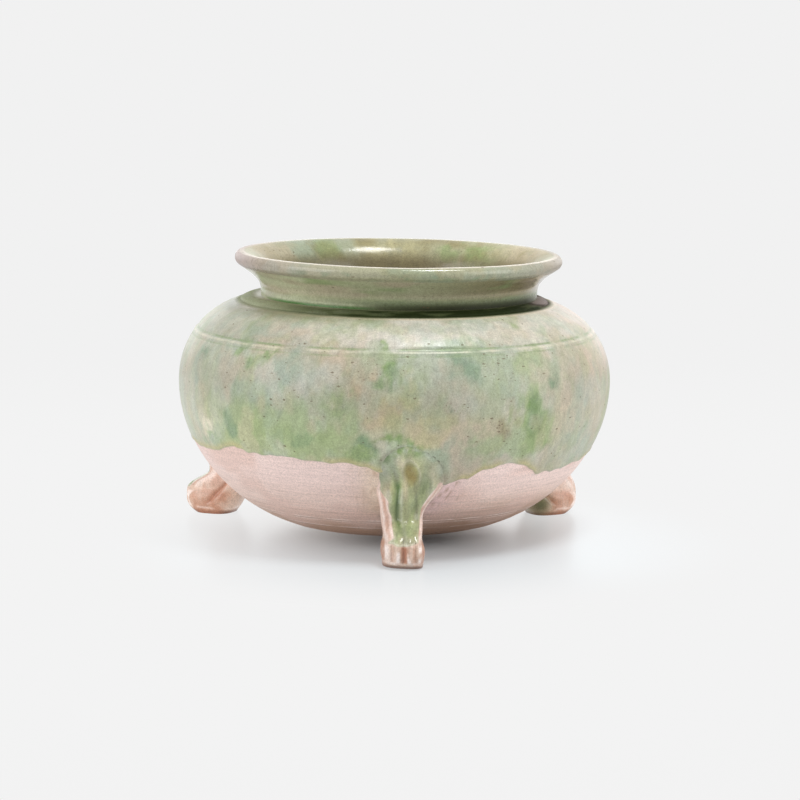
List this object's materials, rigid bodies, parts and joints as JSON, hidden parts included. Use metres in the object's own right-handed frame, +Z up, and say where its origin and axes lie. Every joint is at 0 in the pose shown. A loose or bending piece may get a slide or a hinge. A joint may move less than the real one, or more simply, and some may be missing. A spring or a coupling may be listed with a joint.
{
  "type": "tripod incense burner",
  "caption": "Squat globular incense burner with a flared neck and rolled lip, on moulded lion-paw legs, partly covered with green glaze.",
  "frame": {"origin": "middle of the whole burner's bounding box, on the plane the three soles stand on", "axes": "+Z up through the mouth, -Y towards the front leg, +X to the right seen from the front"},
  "size_m": [0.1802, 0.1902, 0.1171],
  "materials": {
    "green_glaze": "glossy lead glaze, pale sage green with darker green runs and beige thin patches, over a bare pink-brown clay foot",
    "bare_clay": "fired pink-brown clay with a slight sheen, glazed only on the front of the leg"
  },
  "bodies": {
    "root": {"bowl": "green_glaze", "neck_collar": "green_glaze", "leg_front": "bare_clay", "leg_rear_left": "bare_clay", "leg_rear_right": "bare_clay"}
  },
  "joints": []
}
